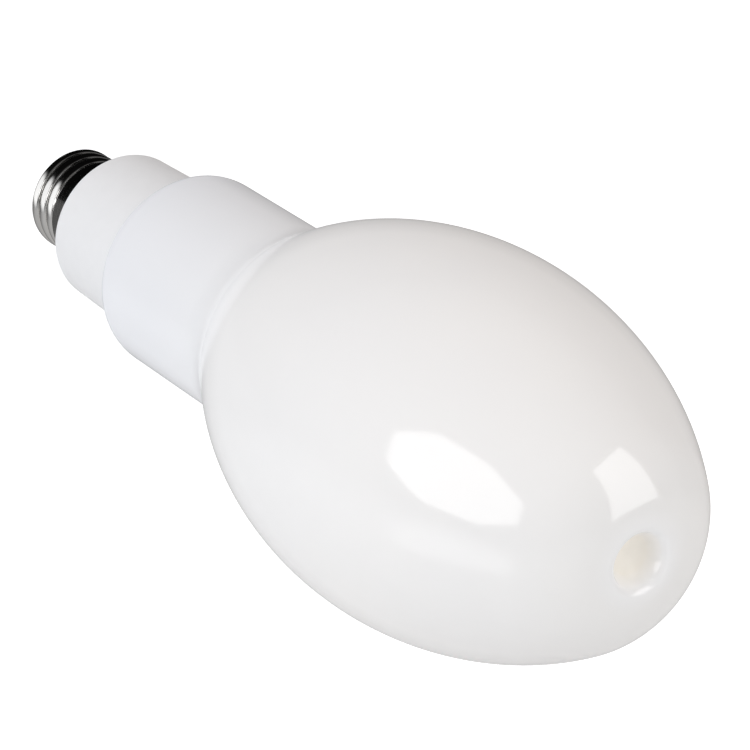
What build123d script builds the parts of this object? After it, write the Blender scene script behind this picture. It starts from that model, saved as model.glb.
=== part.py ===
from build123d import *
import math
import os

# High power LED bulb with an elliptical opal glass envelope, a white driver collar and a
# 27 mm screw cap. The lamp lies along X: the origin is the tip of the centre contact, +X runs
# to the glass nose and +Z is up. All lengths are millimetres and all angles are degrees.

# Screw cap, a shell of nickel-plated brass sheet with a rolled thread
shell_thickness = 0.4
shell_edge = 4.3
shell_lip_radius = 10.3
shell_edge_bevel = 1.2
thread_pitch = 3.629
thread_crest_radius = 13.1
thread_depth = 1.1
thread_crest_width = 0.9
thread_flank_angle = 60.0
thread_first_turn = 4.9
thread_turns = 3.4
thread_start_angle = -147.4
thread_run_in = 1.6
thread_run_out = 1.4
thread_sink = 0.3
thread_run_in_sink = 0.2
skirt_radius = 13.15
skirt_step = 1.0
cap_length = 27.5
rim_insert = 1.2

# Black insulator and centre contact, which close the far end of the cap
contact_radius = 4.7
contact_height = 1.3
contact_edge_bevel = 0.6
rivet_radius = 1.5
rivet_head_radius = 2.2
rivet_head_height = 0.5
rivet_bore_radius = 0.8
rivet_floor = 4.0
insulator_tip_radius = 6.8
insulator_foot_radius = 11.0
insulator_top = 8.5

# Driver housing, the moulded white collar with its spigot for the cap
collar_length = 28.5
collar_small_radius = 19.2
collar_draft = 1.5
collar_edge_round = 1.3
housing_wall = 1.8
housing_floor = 3.2
spigot_end = 11.5
spigot_wall = 1.6
spigot_step = 2.2
ledge_height = 2.0
ledge_width = 2.2
key_width = 2.0
key_height = 1.2
key_length = 5.0
groove_width = 1.4
groove_length = 6.0

# Clearances of the fits
fit_clearance = 0.15
board_clearance = 0.2
key_clearance = 0.2
hole_clearance = 0.2

# Opal glass envelope, blown in one piece and sealed
lamp_length = 238.8
neck_radius = 24.85
shoulder_round = 5.9
neck_blend_radius = 25.0
belly_share = 0.6132
belly_radius = 45.0
nose_arc_radius = 24.1
nose_arc_offset = 6.9
dimple_radius = 7.0
dimple_depth = 5.5
dimple_lip_round = 2.0
stub_radius = 15.5
stub_length = 8.5
stub_bevel = 2.5
cement_length = 7.5

# Driver board and its parts
board_thickness = 1.6
lead_radius = 0.45
leg_width = 0.5
leg_below_board = 1.0
bulb_lead_offset = 3.0
shell_lead_rise = 5.0
fuse_body_radius = 2.4
fuse_body_length = 9.0
fuse_body_from_rivet = 6.5
fuse_end_bevel = 0.8
smoothing_can_radius = 4.0
smoothing_can_height = 10.5
output_can_radius = 3.15
output_can_height = 8.0
can_bead_depth = 0.35
can_bead_width = 0.8
can_bead_from_foot = 1.8
can_edge_bevel = 0.4
choke_flange_radius = 5.0
choke_waist_radius = 2.4
choke_flange_height = 1.2
choke_height = 8.0
winding_gap = 0.1
winding_depth = 2.1
film_box = (10.0, 4.5, 8.0)
film_box_bevel = 0.5
varistor_radius = 3.75
varistor_thickness = 3.2
varistor_bevel = 0.9
foot_width = 0.5
foot_length = 1.0
foot_thickness = 0.25
package_lift = 0.15
rectifier_box = (4.6, 5.0, 2.4)
chip_box = (3.9, 4.8, 1.5)
transistor_box = (4.2, 4.0, 2.2)

# Places of the parts on the board, as Y and Z from the lamp's axis
smoothing_place = (-9.5, 5.5)
output_place = (0.0, 12.2)
choke_place = (9.0, 5.5)
film_place = (-8.0, -6.6)
varistor_place = (7.6, -10.0)
rectifier_place = (8.0, -4.0)
chip_place = (0.0, 5.6)
transistor_place = (-9.2, -1.7)
shell_lead_angle = -90.0
smoothing_leg_pitch = 3.5
output_leg_pitch = 2.5
choke_leg_pitch = 5.0
film_leg_pitch = 7.5
varistor_leg_pitch = 5.0

# Sizes that follow from the ones above
thread_root_radius = thread_crest_radius - thread_depth
shell_inner_radius = thread_root_radius - shell_thickness
skirt_inner_radius = skirt_radius - shell_thickness
thread_end = thread_first_turn + thread_pitch * thread_turns
step_start = thread_end - thread_run_out
skirt_start = step_start + skirt_step
shell_rim = cap_length + rim_insert
seam = cap_length + collar_length
collar_big_radius = collar_small_radius + collar_length * math.tan(math.radians(collar_draft))
spigot_radius = shell_inner_radius - fit_clearance
spigot_collar_radius = skirt_inner_radius - fit_clearance
spigot_bore_radius = spigot_radius - spigot_wall
cavity_radius = collar_small_radius - housing_wall
cavity_floor = cap_length + housing_floor
board_seat = cavity_floor + ledge_height
board_top = board_seat + board_thickness
board_radius = cavity_radius - board_clearance
stub_end = seam - stub_length
belly_x = seam + (lamp_length - seam) * belly_share
leg_end = board_seat - leg_below_board
shell_lead_inner = spigot_bore_radius - lead_radius - hole_clearance / 2
shell_lead_outer = shell_inner_radius - lead_radius - hole_clearance / 4
shell_lead_turn = spigot_end - lead_radius - hole_clearance * 2
groove_floor_radius = shell_lead_outer - lead_radius - hole_clearance / 4


def turned(points, radii=0):
    # A closed outline of X and radius, turned about the lamp's axis; radii round its corners
    outline = FilletPolyline(*points, radius=radii, close=True) if radii else Polyline(*points, close=True)
    return revolve(make_face(outline), Axis.X)


def rod(radius, start, end, y=0.0, z=0.0):
    # A round bar along X from start to end
    middle = (start + end) / 2
    return Pos(middle, y, z) * Rot(0, 90, 0) * Cylinder(radius, end - start)


def on_board(shape, place, height=0.0):
    # Stand a shape, built along +X from zero, on the board's top face
    return Pos(board_top + height, place[0], place[1]) * shape


def polar(centre, radius, angle):
    return (
        centre[0] + radius * math.cos(math.radians(angle)),
        centre[1] + radius * math.sin(math.radians(angle)),
    )


def arc_about(centre, radius, start, end):
    # An arc about a centre from one angle to another
    middle = (start + end) / 2
    return ThreePointArc(*[polar(centre, radius, angle) for angle in (start, middle, end)])


def direction(start, end):
    # The angle of the line from one outline point to another
    return math.degrees(math.atan2(end[1] - start[1], end[0] - start[0]))


def circles_meet(centre_a, radius_a, centre_b, radius_b):
    # The meeting point of two circles that lies further from the lamp's axis
    dx, dy = centre_b[0] - centre_a[0], centre_b[1] - centre_a[1]
    gap = math.hypot(dx, dy)
    along = (radius_a**2 - radius_b**2 + gap**2) / (2 * gap)
    across = math.sqrt(radius_a**2 - along**2)
    foot = (centre_a[0] + along * dx / gap, centre_a[1] + along * dy / gap)
    sides = [
        (foot[0] - side * across * dy / gap, foot[1] + side * across * dx / gap)
        for side in (1, -1)
    ]
    return max(sides, key=lambda point: point[1])


def glass_bulb():
    # Neck, belly and nose are arcs that run into each other; the nose has a pressed dimple. The
    # belly's arc touches the nose's arc, whose centre lies a little off the lamp's axis.
    nose_centre = (lamp_length - nose_arc_radius, nose_arc_offset)
    run = nose_centre[0] - belly_x
    drop = belly_radius - nose_arc_offset
    belly_arc_radius = (run**2 + drop**2 - nose_arc_radius**2) / (2 * (drop - nose_arc_radius))
    belly_centre = (belly_x, belly_radius - belly_arc_radius)
    nose_angle = direction(belly_centre, nose_centre)

    shoulder_centre = (seam + shoulder_round, neck_radius - shoulder_round)
    blend_reach = belly_arc_radius + neck_blend_radius
    blend_radius = neck_radius + neck_blend_radius
    blend_run = math.sqrt(blend_reach**2 - (blend_radius - belly_centre[1]) ** 2)
    blend_centre = (belly_x - blend_run, blend_radius)
    blend_angle = direction(belly_centre, blend_centre)

    dimple_centre = (lamp_length - dimple_depth + dimple_radius, 0.0)
    lip_centre = circles_meet(
        nose_centre, nose_arc_radius - dimple_lip_round,
        dimple_centre, dimple_radius + dimple_lip_round,
    )
    lip_angle = direction(nose_centre, lip_centre)
    bowl_angle = direction(dimple_centre, lip_centre)
    bowl_floor = (dimple_centre[0] - dimple_radius, 0.0)

    shoulder_foot = (seam, shoulder_centre[1])
    stub_outer = Polyline(
        (stub_end, 0), (stub_end, stub_radius - stub_bevel), (stub_end + stub_bevel, stub_radius),
        (seam, stub_radius), shoulder_foot,
    )
    shoulder = arc_about(shoulder_centre, shoulder_round, 180, 90)
    neck = Line((shoulder_centre[0], neck_radius), (blend_centre[0], neck_radius))
    blend = arc_about(blend_centre, neck_blend_radius, -90, blend_angle - 180)
    belly = arc_about(belly_centre, belly_arc_radius, blend_angle, nose_angle)
    nose = arc_about(nose_centre, nose_arc_radius, nose_angle, lip_angle)
    lip = arc_about(lip_centre, dimple_lip_round, lip_angle, bowl_angle - 180)
    bowl = arc_about(dimple_centre, dimple_radius, bowl_angle, 180)
    axis = Line(bowl_floor, (stub_end, 0))
    outline = stub_outer + shoulder + neck + blend + belly + nose + lip + bowl + axis
    return revolve(make_face(outline), Axis.X)


def bulb_cement():
    # The ring of white cement that holds the glass stub in the collar
    start = seam - cement_length
    return turned([
        (start, stub_radius), (start, cavity_radius), (seam, cavity_radius), (seam, stub_radius),
    ])


def thread_ridge(inset=0.0):
    # One ridge swept round the cap, with its foot sunk into the wall that carries it. An inset
    # of the sheet's thickness gives the same ridge as the inside of the rolled sheet has it.
    path = Helix(
        thread_pitch, thread_end - thread_first_turn, thread_root_radius - inset,
        center=(thread_first_turn, 0, 0), direction=(1, 0, 0),
    )
    start = path @ 0
    turn = math.atan2(start.Z, start.Y)
    flank = math.radians(thread_flank_angle)
    crest_radius = thread_crest_radius - inset
    crest_x = thread_crest_width / 2 - inset * math.tan(flank / 2)
    foot_radius = thread_root_radius - inset - thread_sink
    foot_x = crest_x + (crest_radius - foot_radius) / math.tan(flank)
    half = [(crest_x, crest_radius), (foot_x, foot_radius)]
    outline = [(-x, radius) for x, radius in reversed(half)] + half
    corners = [
        (thread_first_turn + x, radius * math.cos(turn), radius * math.sin(turn))
        for x, radius in outline
    ]
    ridge = sweep(make_face(Polyline(*corners, close=True)), path, is_frenet=True)
    full_height = thread_first_turn + thread_run_in
    room_radius = skirt_radius - inset
    room = turned([
        (thread_first_turn, 0), (thread_first_turn, thread_root_radius - inset - thread_run_in_sink),
        (full_height, room_radius), (shell_rim, room_radius), (shell_rim, 0),
    ])
    return Rot(thread_start_angle, 0, 0) * (ridge & room)


def shell_body(inset=0.0):
    # The cap's form at the sheet's outside, or at its inside with the sheet's thickness as
    # inset. The corners shift by half the angle they turn, so the sheet keeps its thickness.
    edge = shell_edge + inset
    bevel_shift = inset * math.tan(math.pi / 8)
    step_slope = math.atan2(skirt_radius - thread_root_radius, skirt_step)
    step_shift = inset * math.tan(step_slope / 2)
    root = thread_root_radius - inset
    skirt = skirt_radius - inset
    bevel = shell_edge_bevel - bevel_shift
    body = turned([
        (edge, 0), (edge, root - bevel), (edge + bevel, root), (step_start + step_shift, root),
        (skirt_start + step_shift, skirt), (shell_rim, skirt), (shell_rim, 0),
    ])
    return body + thread_ridge(inset)


def screw_shell():
    # Thin sheet: the inner face follows the outer one at the sheet's thickness
    mouth = rod(shell_lip_radius, shell_edge, shell_edge + shell_thickness)
    return shell_body() - shell_body(shell_thickness) - mouth


def base_insulator():
    # A cone outside the shell, a neck through its mouth and a plug inside it
    neck = shell_lip_radius - fit_clearance
    plug = shell_inner_radius - fit_clearance
    shell_floor = shell_edge + shell_thickness
    bore = rivet_radius + fit_clearance
    return turned([
        (contact_height, bore), (contact_height, insulator_tip_radius),
        (shell_edge, insulator_foot_radius), (shell_edge, neck), (shell_floor, neck),
        (shell_floor, plug - shell_edge_bevel), (shell_floor + shell_edge_bevel, plug),
        (insulator_top, plug), (insulator_top, bore),
    ])


def centre_contact():
    # A plate with a bevelled edge and a hollow rivet that takes the fuse resistor's lead
    head_end = insulator_top + rivet_head_height
    return turned([
        (0, 0), (0, contact_radius - contact_edge_bevel), (contact_edge_bevel, contact_radius),
        (contact_height, contact_radius), (contact_height, rivet_radius),
        (insulator_top, rivet_radius), (insulator_top, rivet_head_radius),
        (head_end, rivet_head_radius), (head_end, rivet_bore_radius),
        (rivet_floor, rivet_bore_radius), (rivet_floor, 0),
    ])


def housing_key(clearance=0.0):
    # The key that stops the board turning, or its notch when it is given a clearance
    width = key_width + 2 * clearance
    depth = key_height + clearance
    middle = (cavity_radius - depth + cavity_radius + housing_wall / 2) / 2
    height = depth + housing_wall / 2
    return Pos(board_seat + key_length / 2, 0, middle) * Box(key_length, width, height)


def driver_housing():
    # Tapered collar, board ledge, spigot for the cap and the groove that takes the shell's rim
    spigot_shoulder = thread_end + spigot_step
    rim_floor = shell_rim + fit_clearance
    rim_outer = skirt_radius + fit_clearance
    ledge_radius = cavity_radius - ledge_width
    body = turned(
        [
            (spigot_end, spigot_bore_radius), (spigot_end, spigot_radius),
            (spigot_shoulder, spigot_radius), (spigot_shoulder, spigot_collar_radius),
            (rim_floor, spigot_collar_radius), (rim_floor, rim_outer), (cap_length, rim_outer),
            (cap_length, collar_small_radius), (seam, collar_big_radius), (seam, cavity_radius),
            (board_seat, cavity_radius), (board_seat, ledge_radius),
            (cavity_floor, ledge_radius), (cavity_floor, spigot_bore_radius),
        ],
        [0, 0, 0, 0, 0, 0, 0, collar_edge_round, 0, 0, 0, 0, 0, 0],
    )
    wall_ring = turned([
        (board_seat, 0), (board_seat, cavity_radius + housing_wall / 2),
        (board_seat + key_length, cavity_radius + housing_wall / 2), (board_seat + key_length, 0),
    ])
    for angle in (0, 180):
        body += Rot(angle, 0, 0) * housing_key() & wall_ring
    groove_depth = spigot_radius - groove_floor_radius
    groove_middle = groove_floor_radius + groove_depth
    groove = Pos(spigot_end, groove_middle, 0) * Box(2 * groove_length, 2 * groove_depth, groove_width)
    return body - Rot(shell_lead_angle, 0, 0) * groove


def leg_places():
    # Where the legs of the standing parts go through the board
    rows = [
        (smoothing_place, smoothing_leg_pitch), (output_place, output_leg_pitch),
        (choke_place, choke_leg_pitch), (film_place, film_leg_pitch),
        (varistor_place, varistor_leg_pitch),
    ]
    return [(y + side * pitch / 2, z) for (y, z), pitch in rows for side in (1, -1)]


def driver_board():
    # A round board with two notches for the keys and a hole for each leg and lead
    board = rod(board_radius, board_seat, board_top)
    hole_width = leg_width + 2 * hole_clearance
    leg_hole = Box(board_thickness, hole_width, hole_width)
    for angle in (0, 180):
        board -= Rot(angle, 0, 0) * housing_key(key_clearance)
    for y, z in leg_places():
        board -= Pos((board_seat + board_top) / 2, y, z) * leg_hole
    turn = math.radians(shell_lead_angle)
    leads = [
        (0.0, 0.0), (bulb_lead_offset, 0.0), (-bulb_lead_offset, 0.0),
        (shell_lead_inner * math.cos(turn), shell_lead_inner * math.sin(turn)),
    ]
    for y, z in leads:
        board -= rod(lead_radius + hole_clearance, board_seat, board_top, y, z)
    return board


def with_legs(body, place, pitch, top=0.0):
    # Two legs that go down through the board from the foot of a part, or from higher up in it
    leg = Box(board_top + top - leg_end, leg_width, leg_width)
    for side in (1, -1):
        body += Pos((board_top + top + leg_end) / 2, place[0] + side * pitch / 2, place[1]) * leg
    return body


def can(radius, height, place, pitch):
    # A capacitor can with its rolled bead and bevelled top
    bead_start = can_bead_from_foot - can_bead_width / 2
    bead_end = can_bead_from_foot + can_bead_width / 2
    shape = turned([
        (0, 0), (0, radius), (bead_start, radius), (can_bead_from_foot, radius - can_bead_depth),
        (bead_end, radius), (height - can_edge_bevel, radius), (height, radius - can_edge_bevel),
        (height, 0),
    ])
    return with_legs(on_board(shape, place), place, pitch)


def choke_core():
    # A ferrite drum: two flanges on a slim waist
    top_flange = choke_height - choke_flange_height
    shape = turned([
        (0, 0), (0, choke_flange_radius), (choke_flange_height, choke_flange_radius),
        (choke_flange_height, choke_waist_radius), (top_flange, choke_waist_radius),
        (top_flange, choke_flange_radius), (choke_height, choke_flange_radius), (choke_height, 0),
    ])
    return with_legs(on_board(shape, choke_place), choke_place, choke_leg_pitch)


def choke_winding():
    # The copper wire on the drum's waist, as one ring
    inner = choke_waist_radius + winding_gap
    start = choke_flange_height + winding_gap
    end = choke_height - choke_flange_height - winding_gap
    shape = turned([
        (start, inner), (start, inner + winding_depth), (end, inner + winding_depth), (end, inner),
    ])
    return on_board(shape, choke_place)


def film_capacitor():
    # A moulded box on two legs
    width, depth, height = film_box
    box = Pos(height / 2, 0, 0) * Box(height, width, depth)
    box = chamfer(box.edges().filter_by(Axis.X), film_box_bevel)
    return with_legs(on_board(box, film_place), film_place, film_leg_pitch)


def surge_varistor():
    # A coated disc that stands on its rim; the legs run up into its lower half
    rim = Cylinder(varistor_radius, varistor_thickness).edges().filter_by(GeomType.CIRCLE)
    disc = chamfer(rim, varistor_bevel)
    body = on_board(disc, varistor_place, varistor_radius)
    return with_legs(body, varistor_place, varistor_leg_pitch, varistor_radius / 2)


def package(box, place, feet):
    # A flat moulded part on rows of feet along two sides
    width, depth, height = box
    shape = Pos((height + package_lift) / 2, 0, 0) * Box(height - package_lift, width, depth)
    for side in (1, -1):
        for i in range(feet):
            z = depth * ((i + 0.5) / feet - 0.5)
            y = side * (width + foot_length) / 2
            top = package_lift + foot_thickness
            foot = Box(foot_thickness, foot_length, foot_width)
            arm = Box(top, foot_length / 2, foot_width)
            shape += Pos(foot_thickness / 2, y, z) * foot
            shape += Pos(top / 2, side * width / 2, z) * arm
    return on_board(shape, place)


def fuse_resistor():
    # A round body in the spigot; its leads reach the rivet's floor and the board
    body_start = insulator_top + fuse_body_from_rivet
    body_end = body_start + fuse_body_length
    body = turned([
        (body_start, 0), (body_start, fuse_body_radius - fuse_end_bevel),
        (body_start + fuse_end_bevel, fuse_body_radius), (body_end - fuse_end_bevel, fuse_body_radius),
        (body_end, fuse_body_radius - fuse_end_bevel), (body_end, 0),
    ])
    return body + rod(lead_radius, rivet_floor, board_top + leg_below_board / 2)


def shell_lead():
    # A wire down the spigot, folded round its end and pinched against the shell
    path = Polyline(
        (board_top + leg_below_board / 2, shell_lead_inner, 0),
        (shell_lead_turn, shell_lead_inner, 0),
        (shell_lead_turn, shell_lead_outer, 0),
        (spigot_end + shell_lead_rise, shell_lead_outer, 0),
    )
    section = Plane(origin=path @ 0, z_dir=path % 0) * Circle(lead_radius)
    return Rot(shell_lead_angle, 0, 0) * sweep(section, path, transition=Transition.RIGHT)


def bulb_lead(side):
    # A straight wire from the glass stub's end down through the board
    return rod(lead_radius, leg_end, stub_end, side * bulb_lead_offset)


def build_parts():
    return {
        "glass_bulb": glass_bulb(),
        "bulb_cement": bulb_cement(),
        "driver_housing": driver_housing(),
        "screw_shell": screw_shell(),
        "base_insulator": base_insulator(),
        "centre_contact": centre_contact(),
        "driver_board": driver_board(),
        "fuse_resistor": fuse_resistor(),
        "shell_lead": shell_lead(),
        "bulb_lead_positive": bulb_lead(1),
        "bulb_lead_negative": bulb_lead(-1),
        "smoothing_capacitor": can(
            smoothing_can_radius, smoothing_can_height, smoothing_place, smoothing_leg_pitch
        ),
        "output_capacitor": can(output_can_radius, output_can_height, output_place, output_leg_pitch),
        "choke_core": choke_core(),
        "choke_winding": choke_winding(),
        "film_capacitor": film_capacitor(),
        "surge_varistor": surge_varistor(),
        "bridge_rectifier": package(rectifier_box, rectifier_place, 2),
        "driver_chip": package(chip_box, chip_place, 4),
        "power_transistor": package(transistor_box, transistor_place, 2),
    }


os.makedirs("parts", exist_ok=True)
for node, shape in build_parts().items():
    export_step(shape, f"parts/{node}.step")
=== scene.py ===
import math
import bpy
from mathutils import Matrix, Vector


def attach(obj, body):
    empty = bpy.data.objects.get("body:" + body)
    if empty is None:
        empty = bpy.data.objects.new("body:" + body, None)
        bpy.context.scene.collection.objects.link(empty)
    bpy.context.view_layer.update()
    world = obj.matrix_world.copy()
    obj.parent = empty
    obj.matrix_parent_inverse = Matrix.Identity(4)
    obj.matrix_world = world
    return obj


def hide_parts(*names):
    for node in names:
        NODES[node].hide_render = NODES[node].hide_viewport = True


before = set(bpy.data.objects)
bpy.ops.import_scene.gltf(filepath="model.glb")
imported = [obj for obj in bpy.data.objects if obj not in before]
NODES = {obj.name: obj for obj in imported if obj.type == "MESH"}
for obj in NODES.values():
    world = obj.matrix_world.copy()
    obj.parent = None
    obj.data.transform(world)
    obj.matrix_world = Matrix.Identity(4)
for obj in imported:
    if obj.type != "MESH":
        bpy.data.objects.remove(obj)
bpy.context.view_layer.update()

ROOT = "root"

# The lamp lies along +X from the tip of its centre contact. Sizes are in metres and angles in
# degrees. They follow the solids; the thread's profile, the cap's waist and the contact's dish
# are finer than theirs.
MM = 0.001

# Turned meshes
RING_SEGMENTS = 192
SHELL_SEGMENTS = 256
CONTACT_SEGMENTS = 96
THREAD_RINGS = 128
SAME_RADIUS = 1e-9
MERGE_DISTANCE = 1e-7
PLACE_TOLERANCE = 1e-6

# Screw shell, plated sheet with a rolled thread
SHELL_EDGE = 4.3 * MM
SHELL_SHEET = 0.4 * MM
SHELL_INSIDE = SHELL_EDGE + SHELL_SHEET
SHELL_LIP_RADIUS = 10.3 * MM
SHELL_EDGE_ROUND = 1.2 * MM
THREAD_PITCH = 3.629 * MM
THREAD_CREST = 13.1 * MM
THREAD_ROOT = 12.0 * MM
THREAD_FIRST = 4.9 * MM
THREAD_LAST = 17.239 * MM
THREAD_START = 90 - 147.4
RUN_IN_START = THREAD_FIRST - 0.6 * MM
RUN_IN_LENGTH = 1.9 * MM
RUN_OUT_LENGTH = 1.6 * MM
CREST_CROWN = 0.08
HALF_CREST = 1.15 * MM
HALF_FOOT = 1.75 * MM
WAIST_START = 15.9 * MM
WAIST_END = 22.1 * MM
WAIST_DEPTH = 0.45 * MM
WAIST_STEP = 0.3 * MM
SKIRT_RISE_START = WAIST_START - 1.0 * MM
SKIRT_RISE_LENGTH = 1.4 * MM
SKIRT_RADIUS = 13.15 * MM
CAP_LENGTH = 27.5 * MM
SHELL_RIM = 28.7 * MM

# Centre contact and its hollow rivet; the dish gives X and radius in millimetres
CONTACT_RADIUS = 4.7 * MM
CONTACT_HEIGHT = 1.3 * MM
CONTACT_EDGE_ROUND = 0.6 * MM
CONTACT_DISH = ((0.0, 2.6), (0.12, 2.3), (0.45, 1.6), (0.5, 0.9), (0.3, 0.3))
RIVET_RADIUS = 1.5 * MM
RIVET_BORE = 0.8 * MM
RIVET_HEAD = 2.2 * MM
RIVET_END = 9.0 * MM

# Black insulator: a plug inside the shell, a rim over its lip and a cone down to the contact
INSULATOR_TOP = 8.5 * MM
PLUG_RADIUS = 11.45 * MM
RIVET_HOLE = 1.65 * MM
LIP_NECK = 9.9 * MM
RIM_SEAT = 10.7 * MM
RIM_CENTRE = (4.1 * MM, 10.75 * MM)
RIM_ROUND = 0.25 * MM
CONE_ANGLE = 125
CONE_END = (2.0 * MM, 8.3 * MM)
TIP_CENTRE = (2.0 * MM, 7.4 * MM)
TIP_ROUND = 0.7 * MM
TIP_RADIUS = 5.6 * MM

# White collar, the moulded housing of the driver
COLLAR_SMALL = 19.2 * MM
COLLAR_EDGE_ROUND = 1.3 * MM
COLLAR_DRAFT = 1.5
COLLAR_SLOPE = math.tan(math.radians(COLLAR_DRAFT))
SEAM = 56.0 * MM
COLLAR_BIG = COLLAR_SMALL + (SEAM - CAP_LENGTH) * COLLAR_SLOPE
COLLAR_MOUTH_BEVEL = 0.25 * MM
CAVITY_RADIUS = 17.4 * MM
CEMENT_LENGTH = 7.5 * MM
HOUSING_FLOOR = 3.2 * MM
SPIGOT_COLLAR_RADIUS = 12.6 * MM
RIM_GROOVE = 13.3 * MM
FIT_CLEARANCE = 0.15 * MM

# Opal glass
LAMP_LENGTH = 238.8 * MM
NECK_RADIUS = 24.85 * MM
SHOULDER_ROUND = 5.9 * MM
NECK_BLEND = 25.0 * MM
BELLY_SHARE = 0.6132
BELLY_X = SEAM + (LAMP_LENGTH - SEAM) * BELLY_SHARE
BELLY_RADIUS = 45.0 * MM
NOSE_ARC = 24.1 * MM
NOSE_OFFSET = 6.9 * MM
BELLY_RUN = LAMP_LENGTH - NOSE_ARC - BELLY_X
BELLY_DROP = BELLY_RADIUS - NOSE_OFFSET
BELLY_ARC = (BELLY_RUN**2 + BELLY_DROP**2 - NOSE_ARC**2) / (2 * (BELLY_DROP - NOSE_ARC))
DIMPLE_RADIUS = 7.0 * MM
DIMPLE_DEPTH = 5.5 * MM
DIMPLE_LIP = 2.0 * MM
BOWL_END_ANGLE = 178
STUB_END = 47.5 * MM
STUB_RADIUS = 15.5 * MM
STUB_BEVEL = 2.5 * MM


# Modelling helpers

def deselect_all():
    if bpy.context.object and bpy.context.object.mode != "OBJECT":
        bpy.ops.object.mode_set(mode="OBJECT")
    bpy.ops.object.select_all(action="DESELECT")


def work_on(piece):
    deselect_all()
    piece.select_set(True)
    bpy.context.view_layer.objects.active = piece


def arc(centre, radius, start, end, step):
    """Stations of X and radius along an arc; its angles and its longest step are in degrees."""
    count = max(2, math.ceil(abs(end - start) / step))
    angles = [math.radians(start + (end - start) * i / count) for i in range(count + 1)]
    return [(centre[0] + radius * math.cos(a), centre[1] + radius * math.sin(a)) for a in angles]


def direction(start, end):
    return math.degrees(math.atan2(end[1] - start[1], end[0] - start[0]))


def turn_on_axis(name, stations, segments=RING_SEGMENTS):
    """Model a turned piece from rings: a circle is added at the first station, then each ring is
    extruded, moved along the lamp's axis and scaled to the next station's radius."""
    deselect_all()
    x, radius = stations[0]
    bpy.ops.mesh.primitive_circle_add(
        vertices=segments, radius=radius, fill_type="NOTHING",
        location=(x, 0, 0), rotation=(0, math.radians(90), 0),
    )
    piece = bpy.context.object
    piece.name = name
    piece.data.name = name
    bpy.ops.object.transform_apply(location=True, rotation=True, scale=True)
    bpy.ops.object.mode_set(mode="EDIT")
    bpy.ops.mesh.select_all(action="SELECT")
    for next_x, next_radius in stations[1:]:
        bpy.ops.mesh.extrude_region_move(TRANSFORM_OT_translate={"value": (next_x - x, 0, 0)})
        if abs(next_radius - radius) > SAME_RADIUS:
            scale = next_radius / radius
            bpy.ops.transform.resize(value=(1, scale, scale), center_override=(next_x, 0, 0))
        x, radius = next_x, next_radius
    bpy.ops.object.mode_set(mode="OBJECT")
    return piece


def close_ends(piece):
    """Merge the closing ring, fill open ends on the axis and point the faces outwards."""
    work_on(piece)
    bpy.ops.object.mode_set(mode="EDIT")
    bpy.ops.mesh.select_all(action="SELECT")
    bpy.ops.mesh.remove_doubles(threshold=MERGE_DISTANCE)
    bpy.ops.mesh.select_all(action="DESELECT")
    bpy.ops.mesh.select_non_manifold(
        extend=False, use_wire=False, use_multi_face=False,
        use_non_contiguous=False, use_verts=False,
    )
    bpy.ops.mesh.fill_holes(sides=0)
    bpy.ops.mesh.select_all(action="SELECT")
    bpy.ops.mesh.normals_make_consistent(inside=False)
    bpy.ops.object.mode_set(mode="OBJECT")


def smooth(piece, angle):
    work_on(piece)
    bpy.ops.object.shade_smooth_by_angle(angle=math.radians(angle))


# The opal glass

def circles_meet(centre_a, radius_a, centre_b, radius_b):
    """The meeting point of two circles that lies farther from the lamp's axis."""
    dx, dy = centre_b[0] - centre_a[0], centre_b[1] - centre_a[1]
    gap = math.hypot(dx, dy)
    along = (radius_a**2 - radius_b**2 + gap**2) / (2 * gap)
    across = math.sqrt(radius_a**2 - along**2)
    foot = (centre_a[0] + along * dx / gap, centre_a[1] + along * dy / gap)
    sides = [(foot[0] - s * across * dy / gap, foot[1] + s * across * dx / gap) for s in (1, -1)]
    return max(sides, key=lambda point: point[1])


def opal_glass():
    """Stub, shoulder, neck, belly, nose and dimple: one outline turned about the axis."""
    belly = (BELLY_X, BELLY_RADIUS - BELLY_ARC)
    shoulder = (SEAM + SHOULDER_ROUND, NECK_RADIUS - SHOULDER_ROUND)
    rise = NECK_RADIUS + NECK_BLEND - belly[1]
    run = math.sqrt((BELLY_ARC + NECK_BLEND) ** 2 - rise**2)
    blend = (BELLY_X - run, NECK_RADIUS + NECK_BLEND)
    blend_angle = direction(belly, blend)
    nose = (LAMP_LENGTH - NOSE_ARC, NOSE_OFFSET)
    nose_angle = direction(belly, nose)
    dimple = (LAMP_LENGTH - DIMPLE_DEPTH + DIMPLE_RADIUS, 0.0)
    lip = circles_meet(nose, NOSE_ARC - DIMPLE_LIP, dimple, DIMPLE_RADIUS + DIMPLE_LIP)
    lip_angle = direction(nose, lip)
    bowl_angle = direction(dimple, lip)
    stations = [(STUB_END, STUB_RADIUS - STUB_BEVEL), (STUB_END + STUB_BEVEL, STUB_RADIUS)]
    stations += [(SEAM, STUB_RADIUS)]
    stations += arc(shoulder, SHOULDER_ROUND, 180, 90, step=4.5)
    stations += arc(blend, NECK_BLEND, -90, blend_angle - 180, step=1.5)
    stations += arc(belly, BELLY_ARC, blend_angle, nose_angle, step=1.0)[1:]
    stations += arc(nose, NOSE_ARC, nose_angle, lip_angle, step=2.0)[1:]
    stations += arc(lip, DIMPLE_LIP, lip_angle, bowl_angle - 180, step=6.0)[1:]
    stations += arc(dimple, DIMPLE_RADIUS, bowl_angle, BOWL_END_ANGLE, step=4.0)[1:]
    piece = turn_on_axis("opal_glass", stations)
    close_ends(piece)
    smooth(piece, angle=50)
    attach(piece, ROOT)
    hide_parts("glass_bulb")
    return piece


# The collar

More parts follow.
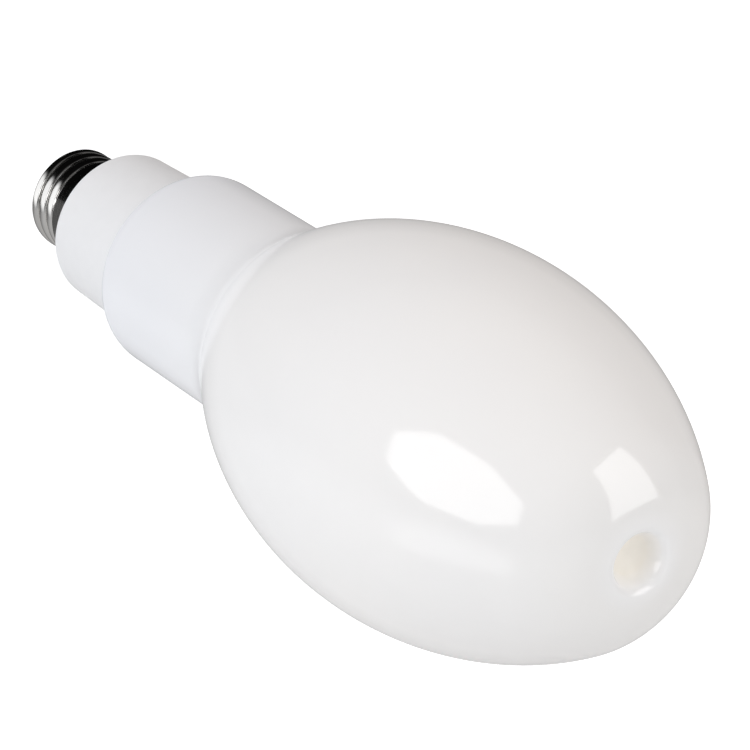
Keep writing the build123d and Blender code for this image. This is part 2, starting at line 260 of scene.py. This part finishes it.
def collar():
    """The drafted collar with its rounded edge, the groove for the cap's rim and the cavity."""
    edge = COLLAR_EDGE_ROUND
    centre = (CAP_LENGTH + edge, COLLAR_SMALL + edge * COLLAR_SLOPE - edge)
    mouth = SEAM - CEMENT_LENGTH
    cavity_floor = CAP_LENGTH + HOUSING_FLOOR
    groove_floor = SHELL_RIM + FIT_CLEARANCE
    bevel = COLLAR_MOUTH_BEVEL
    stations = [(mouth, CAVITY_RADIUS), (cavity_floor, CAVITY_RADIUS)]
    stations += [(cavity_floor, SPIGOT_COLLAR_RADIUS), (groove_floor, SPIGOT_COLLAR_RADIUS)]
    stations += [(groove_floor, RIM_GROOVE), (CAP_LENGTH, RIM_GROOVE)]
    stations += arc(centre, edge, 180, 90 + COLLAR_DRAFT, step=8)
    stations += [(SEAM - bevel, COLLAR_BIG - bevel * COLLAR_SLOPE), (SEAM, COLLAR_BIG - bevel)]
    stations += [(SEAM, CAVITY_RADIUS), (mouth, CAVITY_RADIUS)]
    piece = turn_on_axis("collar_moulding", stations)
    close_ends(piece)
    smooth(piece, angle=35)
    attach(piece, ROOT)
    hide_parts("driver_housing")
    return piece


# The screw cap

def ease(value):
    value = min(1.0, max(0.0, value))
    return value * value * (3 - 2 * value)


def thread_radius(x, angle):
    """The rolled thread: broad round crests, narrow grooves, on a helix that fades at its ends.
    The angle about the axis is in radians."""
    turns = (angle - math.radians(THREAD_START)) / (2 * math.pi)
    phase = ((x - THREAD_FIRST) / THREAD_PITCH - turns) % 1.0
    offset = min(phase, 1.0 - phase) * THREAD_PITCH
    crown = 1.0 - CREST_CROWN * min(1.0, offset / HALF_CREST) ** 2
    height = crown * (1.0 - ease((offset - HALF_CREST) / (HALF_FOOT - HALF_CREST)))
    run_in = ease((x - RUN_IN_START) / RUN_IN_LENGTH)
    run_out = 1.0 - ease((x - THREAD_LAST + RUN_OUT_LENGTH) / RUN_OUT_LENGTH)
    return THREAD_ROOT + (THREAD_CREST - THREAD_ROOT) * height * run_in * run_out


def skirt_radius(x):
    """The skirt behind the last turn, with the shallow waist that is rolled into it."""
    rise = ease((x - SKIRT_RISE_START) / SKIRT_RISE_LENGTH)
    place = min(1.0, max(0.0, (x - WAIST_START) / (WAIST_END - WAIST_START)))
    waist = WAIST_DEPTH * math.sin(math.pi * place) ** 2
    return THREAD_ROOT + (SKIRT_RADIUS - THREAD_ROOT) * rise - waist


def screw_cap():
    """The shell: its lip, edge, a plain band that the thread is rolled into, skirt and rim."""
    edge = SHELL_EDGE_ROUND
    start = SHELL_EDGE + edge
    spacing = (WAIST_END - start) / THREAD_RINGS
    inner_root = THREAD_ROOT - SHELL_SHEET
    inner_skirt = SKIRT_RADIUS - SHELL_SHEET
    stations = [(SHELL_INSIDE, SHELL_LIP_RADIUS), (SHELL_EDGE, SHELL_LIP_RADIUS)]
    stations += arc((start, THREAD_ROOT - edge), edge, 180, 90, step=10)
    stations += [(start + spacing * i, THREAD_ROOT) for i in range(1, THREAD_RINGS + 1)]
    stations += [(WAIST_END + WAIST_STEP, SKIRT_RADIUS), (SHELL_RIM, SKIRT_RADIUS)]
    stations += [(SHELL_RIM, inner_skirt)]
    stations += [(SKIRT_RISE_START + SKIRT_RISE_LENGTH, inner_skirt - WAIST_DEPTH)]
    stations += [(SKIRT_RISE_START, inner_root), (SHELL_INSIDE, inner_root)]
    stations += [(SHELL_INSIDE, SHELL_LIP_RADIUS)]
    piece = turn_on_axis("rolled_screw_shell", stations, SHELL_SEGMENTS)
    first, last = start - PLACE_TOLERANCE, WAIST_END + PLACE_TOLERANCE
    for vertex in piece.data.vertices:
        x, y, z = vertex.co
        radius = math.hypot(y, z)
        if radius < THREAD_ROOT - PLACE_TOLERANCE or not first <= x <= last:
            continue
        target = max(thread_radius(x, math.atan2(z, y)), skirt_radius(x))
        vertex.co.y, vertex.co.z = y * target / radius, z * target / radius
    close_ends(piece)
    smooth(piece, angle=50)
    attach(piece, ROOT)
    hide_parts("screw_shell")
    return piece


def cap_insulator():
    """The black insulator, which holds the shell's lip between its plug and its rim."""
    neck = (SHELL_INSIDE, LIP_NECK)
    bevel = SHELL_EDGE_ROUND
    stations = [neck, (SHELL_EDGE, LIP_NECK), (SHELL_EDGE, RIM_SEAT)]
    stations += arc(RIM_CENTRE, RIM_ROUND, 0, CONE_ANGLE, step=25)
    stations += [CONE_END]
    stations += arc(TIP_CENTRE, TIP_ROUND, CONE_ANGLE, 180, step=12)
    stations += [(CONTACT_HEIGHT, TIP_RADIUS), (CONTACT_HEIGHT, RIVET_HOLE)]
    stations += [(INSULATOR_TOP, RIVET_HOLE), (INSULATOR_TOP, PLUG_RADIUS)]
    stations += [(SHELL_INSIDE + bevel, PLUG_RADIUS), (SHELL_INSIDE, PLUG_RADIUS - bevel), neck]
    piece = turn_on_axis("cap_insulator", stations)
    close_ends(piece)
    smooth(piece, angle=35)
    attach(piece, ROOT)
    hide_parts("base_insulator")
    return piece


def contact_rivet():
    """The centre contact with its dished middle, and the rivet behind it."""
    edge = CONTACT_EDGE_ROUND
    stations = [(RIVET_END, RIVET_BORE), (RIVET_END, RIVET_HEAD)]
    stations += [(INSULATOR_TOP, RIVET_HEAD), (INSULATOR_TOP, RIVET_RADIUS)]
    stations += [(CONTACT_HEIGHT, RIVET_RADIUS), (CONTACT_HEIGHT, CONTACT_RADIUS)]
    stations += arc((edge, CONTACT_RADIUS - edge), edge, 90, 180, step=12)
    stations += [(x * MM, radius * MM) for x, radius in CONTACT_DISH]
    piece = turn_on_axis("contact_rivet", stations, CONTACT_SEGMENTS)
    close_ends(piece)
    smooth(piece, angle=40)
    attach(piece, ROOT)
    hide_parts("centre_contact")
    return piece


# Node helpers

def new_material(name):
    material = bpy.data.materials.new(name)
    material.use_nodes = True
    tree = material.node_tree
    return material, tree, tree.nodes["Principled BSDF"]


def object_place(tree):
    return tree.nodes.new("ShaderNodeTexCoord").outputs["Object"]


def set_or_link(tree, socket, value):
    """Link a socket to another one, or set it to a number or colour."""
    if isinstance(value, bpy.types.NodeSocket):
        tree.links.new(value, socket)
    else:
        socket.default_value = value


def calculate(tree, operation, *values):
    node = tree.nodes.new("ShaderNodeMath")
    node.operation = operation
    for socket, value in zip(node.inputs, values):
        set_or_link(tree, socket, value)
    return node.outputs["Value"]


def vector_maths(tree, operation, first, second):
    node = tree.nodes.new("ShaderNodeVectorMath")
    node.operation = operation
    set_or_link(tree, node.inputs[0], first)
    set_or_link(tree, node.inputs[1], second)
    return node


def map_range(tree, value, start, end, low=0.0, high=1.0, eased=True):
    """A value that goes from low to high while the one it reads goes from start to end."""
    node = tree.nodes.new("ShaderNodeMapRange")
    node.interpolation_type = "SMOOTHSTEP" if eased else "LINEAR"
    tree.links.new(value, node.inputs["Value"])
    node.inputs["From Min"].default_value = start
    node.inputs["From Max"].default_value = end
    set_or_link(tree, node.inputs["To Min"], low)
    set_or_link(tree, node.inputs["To Max"], high)
    return node.outputs["Result"]


def mix_colours(tree, factor, first, second, blend="MIX"):
    node = tree.nodes.new("ShaderNodeMix")
    node.data_type = "RGBA"
    node.blend_type = blend
    set_or_link(tree, node.inputs["Factor"], factor)
    tree.links.new(first, node.inputs["A"])
    tree.links.new(second, node.inputs["B"])
    return node.outputs["Result"]


def stops(tree, factor, places):
    """A colour ramp with its stops given as (position, colour)."""
    ramp = tree.nodes.new("ShaderNodeValToRGB")
    elements = ramp.color_ramp.elements
    while len(elements) > 1:
        elements.remove(elements[-1])
    elements[0].position, elements[0].color = places[0][0], (*places[0][1], 1)
    for position, colour in places[1:]:
        elements.new(position).color = (*colour, 1)
    tree.links.new(factor, ramp.inputs["Fac"])
    return ramp.outputs["Color"]


# Shared groups of shader nodes

NOISE_DETAIL = 3.0
NOISE_SPAN = (0.3, 0.7)
EVEN = (1.0, 1.0, 1.0)
ROUND_THE_AXIS = (1.0, 0.05, 0.05)


def shared_group(name, inputs, output, kind):
    """A shader node group with noise in it that all the materials share."""
    group = bpy.data.node_groups.new(name, "ShaderNodeTree")
    for label, socket in [("Scale", "NodeSocketFloat"), ("Stretch", "NodeSocketVector")] + inputs:
        group.interface.new_socket(name=label, in_out="INPUT", socket_type=socket)
    group.interface.new_socket(name=output, in_out="OUTPUT", socket_type=kind)
    entry = group.nodes.new("NodeGroupInput")
    leave = group.nodes.new("NodeGroupOutput")
    stretch = vector_maths(group, "MULTIPLY", object_place(group), entry.outputs["Stretch"])
    cloud = group.nodes.new("ShaderNodeTexNoise")
    cloud.inputs["Detail"].default_value = NOISE_DETAIL
    group.links.new(stretch.outputs["Vector"], cloud.inputs["Vector"])
    group.links.new(entry.outputs["Scale"], cloud.inputs["Scale"])
    return group, entry, leave, cloud.outputs["Fac"]


def tone_group():
    """A colour that wanders between two near tones."""
    group, entry, leave, cloud = shared_group(
        "wandering_tone", [("Low", "NodeSocketColor"), ("High", "NodeSocketColor")],
        "Color", "NodeSocketColor",
    )
    share = map_range(group, cloud, *NOISE_SPAN)
    tone = mix_colours(group, share, entry.outputs["Low"], entry.outputs["High"])
    group.links.new(tone, leave.inputs["Color"])
    return group


def gloss_group():
    """A roughness that wanders between two values."""
    group, entry, leave, cloud = shared_group(
        "wandering_gloss", [("Low", "NodeSocketFloat"), ("High", "NodeSocketFloat")],
        "Roughness", "NodeSocketFloat",
    )
    gloss = map_range(group, cloud, *NOISE_SPAN, entry.outputs["Low"], entry.outputs["High"])
    group.links.new(gloss, leave.inputs["Roughness"])
    return group


def relief_group():
    """Surface grain with its height given in metres."""
    group, entry, leave, cloud = shared_group(
        "fine_relief", [("Strength", "NodeSocketFloat"), ("Height", "NodeSocketFloat")],
        "Normal", "NodeSocketVector",
    )
    relief = group.nodes.new("ShaderNodeBump")
    group.links.new(cloud, relief.inputs["Height"])
    group.links.new(entry.outputs["Strength"], relief.inputs["Strength"])
    group.links.new(entry.outputs["Height"], relief.inputs["Distance"])
    group.links.new(relief.outputs["Normal"], leave.inputs["Normal"])
    return group


TONE = tone_group()
GLOSS = gloss_group()
RELIEF = relief_group()


def add_group(tree, group, scale, stretch, **values):
    """Place a shared group with its own values; the group has one output."""
    node = tree.nodes.new("ShaderNodeGroup")
    node.node_tree = group
    node.inputs["Scale"].default_value = scale
    node.inputs["Stretch"].default_value = stretch
    for label, value in values.items():
        node.inputs[label].default_value = value
    return node.outputs[0]


# Materials

GLOSS_TO_TONE_SCALE = 1.7
GRAIN_STRENGTH = 0.35

# Tones of the glass from the collar's seam to the belly, with painted shade darkening and cooling
# the neck, and from the dimple's middle outwards: a cream bowl and a painted highlight on its lip
PAINTED_SHADE_ALONG_GLASS = (
    (0.0, (0.885, 0.897, 0.93)), (0.35, (0.905, 0.912, 0.93)), (0.62, (0.941, 0.934, 0.927)),
)
BOWL_CREAM_AND_LIP_HIGHLIGHT = ((0.3, (0.975, 0.935, 0.865)), (0.52, (0.97, 0.972, 0.98)))
DIMPLE_TONE_REACH = 15.0 * MM
LIP_HIGHLIGHT_FADE = (8.0 * MM, 14.0 * MM)
DULL_BOWL_FADE = (4.0 * MM, 8.0 * MM)
DULL_BOWL_COAT = 0.15
COAT_BY_FACING = ((0.45, 1.0), (0.70, 0.47), (0.80, 0.5), (0.94, 0.62))


def finish_material(
    name, low, high, gloss, scale, grain, grain_scale=4000.0, metallic=0.0, stretch=EVEN,
):
    """Two near tones, a roughness that wanders from gloss[0] to gloss[1], and grain in metres."""
    material, tree, shader = new_material(name)
    shader.inputs["Metallic"].default_value = metallic
    tone = add_group(tree, TONE, scale, stretch, Low=(*low, 1), High=(*high, 1))
    tree.links.new(tone, shader.inputs["Base Color"])
    gloss_scale = scale * GLOSS_TO_TONE_SCALE
    wear = add_group(tree, GLOSS, gloss_scale, stretch, Low=gloss[0], High=gloss[1])
    tree.links.new(wear, shader.inputs["Roughness"])
    relief = add_group(
        tree, RELIEF, grain_scale, stretch, Strength=GRAIN_STRENGTH, Height=grain,
    )
    tree.links.new(relief, shader.inputs["Normal"])
    return material


def opal_material():
    """Milky coating inside clear glass: a matt white body under a glossy clear coat."""
    material, tree, shader = new_material("opal_glass_coat")
    shader.inputs["Roughness"].default_value = 1.0
    shader.inputs["Specular IOR Level"].default_value = 0.0
    shader.inputs["Coat IOR"].default_value = 1.55
    shader.inputs["Coat Roughness"].default_value = 0.09
    place = object_place(tree)

    # Painted shade: darker and cooler at the neck, warmer on the belly, with a faint mottle over it
    split = tree.nodes.new("ShaderNodeSeparateXYZ")
    tree.links.new(place, split.inputs["Vector"])
    along = map_range(tree, split.outputs["X"], SEAM, BELLY_X, eased=False)
    mottle = add_group(
        tree, TONE, scale=22.0, stretch=EVEN, Low=(0.982, 0.985, 0.99, 1), High=(1, 1, 1, 1),
    )
    body = mix_colours(tree, 1.0, stops(tree, along, PAINTED_SHADE_ALONG_GLASS), mottle, blend="MULTIPLY")

    # The bowl of the dimple is cream and its coat is dull; the lip round it has a paler, bluer
    # painted highlight
    reach = vector_maths(tree, "DISTANCE", place, (LAMP_LENGTH - DIMPLE_DEPTH, 0.0, 0.0))
    reach = reach.outputs["Value"]
    outwards = map_range(tree, reach, 0.0, DIMPLE_TONE_REACH, eased=False)
    # The cream stop fills the bowl; the paler, bluer stop on the lip is a painted highlight.
    ring = stops(tree, outwards, BOWL_CREAM_AND_LIP_HIGHLIGHT)
    cream_and_highlight_share = map_range(tree, reach, *LIP_HIGHLIGHT_FADE, low=1.0, high=0.0)
    tree.links.new(mix_colours(tree, cream_and_highlight_share, body, ring), shader.inputs["Base Color"])
    bowl = map_range(tree, reach, *DULL_BOWL_FADE, low=1.0, high=0.0)
    dull = map_range(tree, bowl, 0.0, 1.0, low=1.0, high=DULL_BOWL_COAT, eased=False)

    # The coat thins towards the rims and rises again at the last edge
    facing = tree.nodes.new("ShaderNodeLayerWeight")
    facing.inputs["Blend"].default_value = 0.5
    greys = [(position, (level, level, level)) for position, level in COAT_BY_FACING]
    thinned = stops(tree, facing.outputs["Facing"], greys)
    tree.links.new(calculate(tree, "MULTIPLY", thinned, dull), shader.inputs["Coat Weight"])
    relief = add_group(tree, RELIEF, scale=35.0, stretch=EVEN, Strength=0.25, Height=0.00004)
    tree.links.new(relief, shader.inputs["Normal"])
    return material


def dress(piece, material):
    piece.data.materials.clear()
    piece.data.materials.append(material)


def dress_node(name, material):
    for slot in NODES[name].material_slots:
        slot.link = "OBJECT"
        slot.material = material


# The pieces

glass = opal_glass()
housing = collar()
shell = screw_cap()
insulator = cap_insulator()
contact = contact_rivet()

dress(glass, opal_material())
dress(housing, finish_material(
    "moulded_white", low=(0.863, 0.867, 0.878), high=(0.873, 0.877, 0.888), gloss=(0.48, 0.62),
    scale=300.0, grain=0.00003, grain_scale=2500.0,
))
dress(shell, finish_material(
    "nickel_plated_sheet", low=(0.66, 0.65, 0.63), high=(0.74, 0.73, 0.71), gloss=(0.10, 0.17),
    scale=900.0, metallic=1.0, stretch=ROUND_THE_AXIS, grain=0.000006, grain_scale=2500.0,
))
dress(insulator, finish_material(
    "black_vitrite", low=(0.012, 0.012, 0.014), high=(0.022, 0.022, 0.025), gloss=(0.12, 0.24),
    scale=300.0, grain=0.00002, grain_scale=700.0,
))
dress(contact, finish_material(
    "soldered_contact", low=(0.52, 0.51, 0.48), high=(0.66, 0.65, 0.61), gloss=(0.22, 0.42),
    scale=700.0, metallic=1.0, grain=0.00002, grain_scale=900.0,
))

inner = {
    "bulb_cement": finish_material(
        "cap_cement", low=(0.70, 0.67, 0.60), high=(0.82, 0.79, 0.73), gloss=(0.8, 0.95),
        scale=500.0, grain=0.0001, grain_scale=2200.0,
    ),
    "driver_board": finish_material(
        "board_laminate", low=(0.64, 0.61, 0.43), high=(0.72, 0.69, 0.52), gloss=(0.4, 0.55),
        scale=300.0, grain=0.00002, grain_scale=1800.0,
    ),
    "fuse_resistor": finish_material(
        "resistor_coat", low=(0.19, 0.31, 0.23), high=(0.26, 0.38, 0.30), gloss=(0.4, 0.6),
        scale=500.0, grain=0.00003, grain_scale=1500.0,
    ),
    "shell_lead": finish_material(
        "tinned_wire", low=(0.58, 0.58, 0.56), high=(0.70, 0.70, 0.68), gloss=(0.22, 0.38),
        scale=900.0, metallic=1.0, grain=0.00001,
    ),
    "smoothing_capacitor": finish_material(
        "can_sleeve", low=(0.03, 0.035, 0.06), high=(0.04, 0.05, 0.08), gloss=(0.22, 0.4),
        scale=500.0, grain=0.00001,
    ),
    "choke_core": finish_material(
        "ferrite", low=(0.05, 0.05, 0.05), high=(0.09, 0.09, 0.09), gloss=(0.6, 0.8),
        scale=900.0, grain=0.00003,
    ),
    "choke_winding": finish_material(
        "enamelled_copper", low=(0.50, 0.20, 0.08), high=(0.62, 0.28, 0.12), gloss=(0.22, 0.36),
        scale=1500.0, metallic=1.0, stretch=ROUND_THE_AXIS, grain=0.00006, grain_scale=2500.0,
    ),
    "film_capacitor": finish_material(
        "film_case", low=(0.55, 0.36, 0.06), high=(0.65, 0.44, 0.10), gloss=(0.28, 0.42),
        scale=400.0, grain=0.00002,
    ),
    "surge_varistor": finish_material(
        "varistor_coat", low=(0.06, 0.12, 0.32), high=(0.09, 0.17, 0.40), gloss=(0.4, 0.6),
        scale=500.0, grain=0.00003,
    ),
    "driver_chip": finish_material(
        "package_resin", low=(0.02, 0.02, 0.02), high=(0.035, 0.035, 0.035), gloss=(0.5, 0.7),
        scale=900.0, grain=0.00002,
    ),
}
finished_alike = {
    "bulb_lead_positive": "shell_lead", "bulb_lead_negative": "shell_lead",
    "output_capacitor": "smoothing_capacitor", "bridge_rectifier": "driver_chip",
    "power_transistor": "driver_chip",
}
for name, material in inner.items():
    dress_node(name, material)
for name, like in finished_alike.items():
    dress_node(name, inner[like])


# The camera. Yaw and pitch turn the lamp's axis away from the line of sight. The contact's tip
# is given in millimetres from the camera: to the right, down and away from it.

YAW = math.radians(42.0)
PITCH = math.radians(32.64)
CONTACT_TIP = Vector((-78.91, -46.92, 992.22)) * MM
FOCAL_PIXELS = 3900.0
FRAME_PIXELS = 750.0
SENSOR_WIDTH = 36.0

lamp_x = Vector((math.sin(YAW) * math.cos(PITCH), math.sin(YAW) * math.sin(PITCH), -math.cos(YAW)))
lean = math.atan(math.tan(YAW) * math.sin(PITCH))
lamp_z = Vector((0.0, -math.cos(lean), -math.sin(lean)))
lamp_y = lamp_z.cross(lamp_x)
to_lamp = Matrix((lamp_x, lamp_y, lamp_z))
camera_data = bpy.data.cameras.new("camera")
camera = bpy.data.objects.new("camera", camera_data)
bpy.context.scene.collection.objects.link(camera)
camera_data.sensor_width = SENSOR_WIDTH
camera_data.lens = FOCAL_PIXELS * SENSOR_WIDTH / FRAME_PIXELS
camera_data.clip_start = 0.01
camera_data.clip_end = 50.0
right = to_lamp @ Vector((1, 0, 0))
up = to_lamp @ Vector((0, -1, 0))
back = to_lamp @ Vector((0, 0, -1))
place = to_lamp @ -CONTACT_TIP
camera.matrix_world = Matrix((
    (right.x, up.x, back.x, place.x),
    (right.y, up.y, back.y, place.y),
    (right.z, up.z, back.z, place.z),
    (0, 0, 0, 1),
))
bpy.context.scene.camera = camera


# Floor, world and room

FLOOR_SIZE = 7.0
FLOOR_PLACE = (0.1, 0, -0.22)
FLOOR_WHITE = 0.9
FLOOR_FOR_CAMERA = 0.55
FLOOR_FOR_REFLECTIONS = 0.1
TABLE_DIRECTION = (-0.8, 0.6, 0.0)
TABLE_EDGE = (0.15, 0.45)
LEAST_BEYOND = 0.45
GLOW_BEYOND = 0.15
WORLD_TINT = (0.97, 0.985, 1, 1)
WORLD_LEVEL = 0.49
ROOM_RADIUS = 3.0
ROOM_PLACE = (0.1, 0, -0.2)
ROOM_DARKEST_AT = (150, 35)
ROOM_FADE = (math.cos(math.radians(80)), math.cos(math.radians(48)))
ROOM_LEVELS = (0.12, 0.003)


def aim(azimuth, elevation):
    a, b = math.radians(azimuth), math.radians(elevation)
    return Vector((math.cos(b) * math.cos(a), math.cos(b) * math.sin(a), math.sin(b)))


def hide_from(thing, *rays):
    for ray in rays:
        setattr(thing, "visible_" + ray, False)


def glow_material(name):
    """A material that only glows, with its tree, its glow and its output."""
    material = bpy.data.materials.new(name)
    material.use_nodes = True
    tree = material.node_tree
    tree.nodes.clear()
    glow = tree.nodes.new("ShaderNodeEmission")
    output = tree.nodes.new("ShaderNodeOutputMaterial")
    tree.links.new(glow.outputs["Emission"], output.inputs["Surface"])
    return material, tree, glow, output


def floor_material():
    """Matt white, lifted to a plain white for the camera. Reflections see it mixed with a dim
    glow, and that glow alone beyond the table's edge."""
    material, tree, shader = new_material("studio_floor_white")
    shader.inputs["Base Color"].default_value = (FLOOR_WHITE, FLOOR_WHITE, FLOOR_WHITE, 1)
    shader.inputs["Roughness"].default_value = 1.0
    shader.inputs["Specular IOR Level"].default_value = 0.0
    shader.inputs["Emission Color"].default_value = (1, 1, 1, 1)
    rays = tree.nodes.new("ShaderNodeLightPath").outputs
    mirrored = calculate(tree, "MAXIMUM", rays["Is Glossy Ray"], rays["Is Transmission Ray"])
    faint = calculate(tree, "MULTIPLY", mirrored, FLOOR_FOR_REFLECTIONS)
    lift = calculate(tree, "MULTIPLY_ADD", rays["Is Camera Ray"], FLOOR_FOR_CAMERA, faint)
    tree.links.new(lift, shader.inputs["Emission Strength"])
    reach = vector_maths(tree, "DOT_PRODUCT", object_place(tree), TABLE_DIRECTION)
    share = map_range(tree, reach.outputs["Value"], *TABLE_EDGE, low=LEAST_BEYOND)
    beyond = calculate(tree, "MULTIPLY", share, rays["Is Glossy Ray"])
    dim = tree.nodes.new("ShaderNodeEmission")
    dim.inputs["Strength"].default_value = GLOW_BEYOND
    choice = tree.nodes.new("ShaderNodeMixShader")
    tree.links.new(beyond, choice.inputs["Fac"])
    tree.links.new(shader.outputs["BSDF"], choice.inputs[1])
    tree.links.new(dim.outputs["Emission"], choice.inputs[2])
    tree.links.new(choice.outputs["Shader"], tree.nodes["Material Output"].inputs["Surface"])
    return material


def studio_floor():
    deselect_all()
    bpy.ops.mesh.primitive_plane_add(size=FLOOR_SIZE, location=FLOOR_PLACE)
    floor = bpy.context.object
    floor.name = "studio_floor"
    floor.data.materials.append(floor_material())


def studio_world():
    """Even light on the lamp, and white behind it."""
    world = bpy.data.worlds.new("studio")
    bpy.context.scene.world = world
    world.use_nodes = True
    tree = world.node_tree
    background = tree.nodes["Background"]
    background.inputs["Color"].default_value = WORLD_TINT
    rays = tree.nodes.new("ShaderNodeLightPath").outputs
    mirrored = calculate(tree, "MAXIMUM", rays["Is Glossy Ray"], rays["Is Transmission Ray"])
    seen = calculate(tree, "MAXIMUM", rays["Is Camera Ray"], mirrored)
    level = map_range(tree, seen, 0.0, 1.0, low=WORLD_LEVEL, eased=False)
    tree.links.new(level, background.inputs["Strength"])


def dark_room():
    """The unlit room over the table, which only reflections show."""
    deselect_all()
    bpy.ops.mesh.primitive_uv_sphere_add(
        segments=48, ring_count=24, radius=ROOM_RADIUS, location=ROOM_PLACE,
    )
    room = bpy.context.object
    room.name = "dark_room"
    hide_from(room, "camera", "diffuse", "transmission", "shadow")
    material, tree, glow, _ = glow_material("dark_room_walls")
    darkest = aim(*ROOM_DARKEST_AT) / ROOM_RADIUS
    towards = vector_maths(tree, "DOT_PRODUCT", object_place(tree), darkest)
    fade = map_range(tree, towards.outputs["Value"], *ROOM_FADE, *ROOM_LEVELS)
    tree.links.new(fade, glow.inputs["Strength"])
    room.data.materials.append(material)


# Lights and softboxes

TARGET = Vector((0.19, 0.0, 0.0))
CAP_CENTRE = Vector((0.012, 0.0, 0.0))
PANEL_FADE = 0.5


def facing(azimuth, elevation, distance, roll=0.0, centre=TARGET):
    """A place at a distance from a point of the lamp, and the turn that faces that point."""
    towards = aim(azimuth, elevation)
    spin = Matrix.Rotation(math.radians(roll), 3, "Z")
    turn = towards.to_track_quat("Z", "Y").to_matrix() @ spin
    return centre + towards * distance, turn.to_euler()


def soft_light(name, azimuth, elevation, distance, width, height, power, colour, roll=0.0):
    """A rectangular soft light that lights the lamp and doesn't show in it."""
    data = bpy.data.lights.new(name, "AREA")
    data.shape = "RECTANGLE"
    data.size = width
    data.size_y = height
    data.energy = power
    data.color = colour
    light = bpy.data.objects.new(name, data)
    bpy.context.scene.collection.objects.link(light)
    light.location, light.rotation_euler = facing(azimuth, elevation, distance, roll)
    hide_from(light, "glossy")


def softbox_face(name, corners, azimuth, elevation, distance, size, strength, roll, lights=True):
    """A softbox front that glows towards the lamp; without lights it shows in reflections alone."""
    deselect_all()
    location, rotation = facing(azimuth, elevation, distance, roll)
    if corners == 4:
        bpy.ops.mesh.primitive_plane_add(size=1.0, location=location, rotation=rotation)
    else:
        bpy.ops.mesh.primitive_circle_add(
            vertices=corners, radius=0.5, fill_type="NGON", location=location, rotation=rotation,
        )
    box = bpy.context.object
    box.name = name
    bpy.ops.transform.resize(value=(*size, 1), orient_type="LOCAL")
    hide_from(box, "camera")
    if not lights:
        hide_from(box, "diffuse", "transmission", "shadow")
    material, _, glow, _ = glow_material(name + "_cloth")
    glow.inputs["Strength"].default_value = strength
    box.data.materials.append(material)
    return box


def glow_panel(name, centre, azimuth, elevation, distance, size, strength, colour):
    """A glowing panel with soft edges that only reflections show."""
    deselect_all()
    location, rotation = facing(azimuth, elevation, distance, centre=centre)
    bpy.ops.mesh.primitive_plane_add(size=1.0, location=location, rotation=rotation)
    panel = bpy.context.object
    panel.name = name
    bpy.ops.transform.resize(value=(*size, 1), orient_type="LOCAL")
    hide_from(panel, "camera", "diffuse", "transmission", "shadow")
    material, tree, glow, output = glow_material(name + "_cloth")
    spread = tree.nodes.new("ShaderNodeVectorMath")
    spread.operation = "SCALE"
    spread.inputs["Scale"].default_value = 2.0
    tree.links.new(object_place(tree), spread.inputs["Vector"])
    round_fade = tree.nodes.new("ShaderNodeTexGradient")
    round_fade.gradient_type = "SPHERICAL"
    tree.links.new(spread.outputs["Vector"], round_fade.inputs["Vector"])
    soften = map_range(tree, round_fade.outputs["Fac"], 0.0, PANEL_FADE, high=strength)
    tree.links.new(soften, glow.inputs["Strength"])
    glow.inputs["Color"].default_value = (*colour, 1)
    clear = tree.nodes.new("ShaderNodeBsdfTransparent")
    both = tree.nodes.new("ShaderNodeAddShader")
    tree.links.new(glow.outputs["Emission"], both.inputs[0])
    tree.links.new(clear.outputs["BSDF"], both.inputs[1])
    tree.links.new(both.outputs["Shader"], output.inputs["Surface"])
    panel.data.materials.append(material)
    return panel


def shown_in(name, piece):
    """A collection for light linking: what is linked to it shows in this piece alone."""
    collection = bpy.data.collections.new(name)
    collection.objects.link(piece)
    return collection


studio_floor()
studio_world()
dark_room()
softbox_face(
    "octagon_softbox", corners=8, azimuth=-86, elevation=22, distance=1.0,
    size=(0.74, 0.74), strength=2.93, roll=22.5,
)
window_face = softbox_face(
    "window_face", corners=4, azimuth=28, elevation=23, distance=1.0,
    size=(0.56, 0.95), strength=2.75, roll=4, lights=False,
)
soft_light(
    "window_fill", azimuth=28, elevation=23, distance=1.0, width=0.56, height=0.95,
    power=2.2, colour=(1.0, 0.98, 0.95), roll=4,
)
soft_light(
    "top_fill", azimuth=0, elevation=83, distance=0.6, width=0.7, height=0.7,
    power=0.82, colour=(1.0, 0.85, 0.76),
)
soft_light(
    "left_fill", azimuth=-130, elevation=20, distance=1.2, width=1.0, height=1.0,
    power=1.9, colour=(0.84, 0.89, 1.0),
)
soft_light(
    "right_fill", azimuth=90, elevation=20, distance=1.2, width=1.0, height=1.0,
    power=0.88, colour=(1.0, 0.7, 0.55),
)
soft_light(
    "side_fill", azimuth=-172, elevation=8, distance=0.9, width=0.5, height=0.5,
    power=0.5, colour=(0.97, 0.98, 1.0),
)
soft_light(
    "front_fill", azimuth=-32, elevation=8, distance=1.0, width=0.6, height=0.6,
    power=0.4, colour=(1.0, 0.99, 0.98),
)
table_sheen = glow_panel(
    "table_sheen", TARGET, azimuth=-84, elevation=-21, distance=0.5,
    size=(0.42, 0.32), strength=0.8, colour=(0.97, 0.98, 1.0),
)
side_panel = glow_panel(
    "side_panel", CAP_CENTRE, azimuth=-141, elevation=9, distance=0.28,
    size=(0.26, 0.29), strength=1.3, colour=(0.97, 0.98, 1.0),
)
shown_in_glass = shown_in("shown_in_glass", glass)
window_face.light_linking.receiver_collection = shown_in_glass
table_sheen.light_linking.receiver_collection = shown_in_glass
side_panel.light_linking.receiver_collection = shown_in("shown_in_shell", shell)

bpy.context.scene.view_settings.view_transform = "Standard"
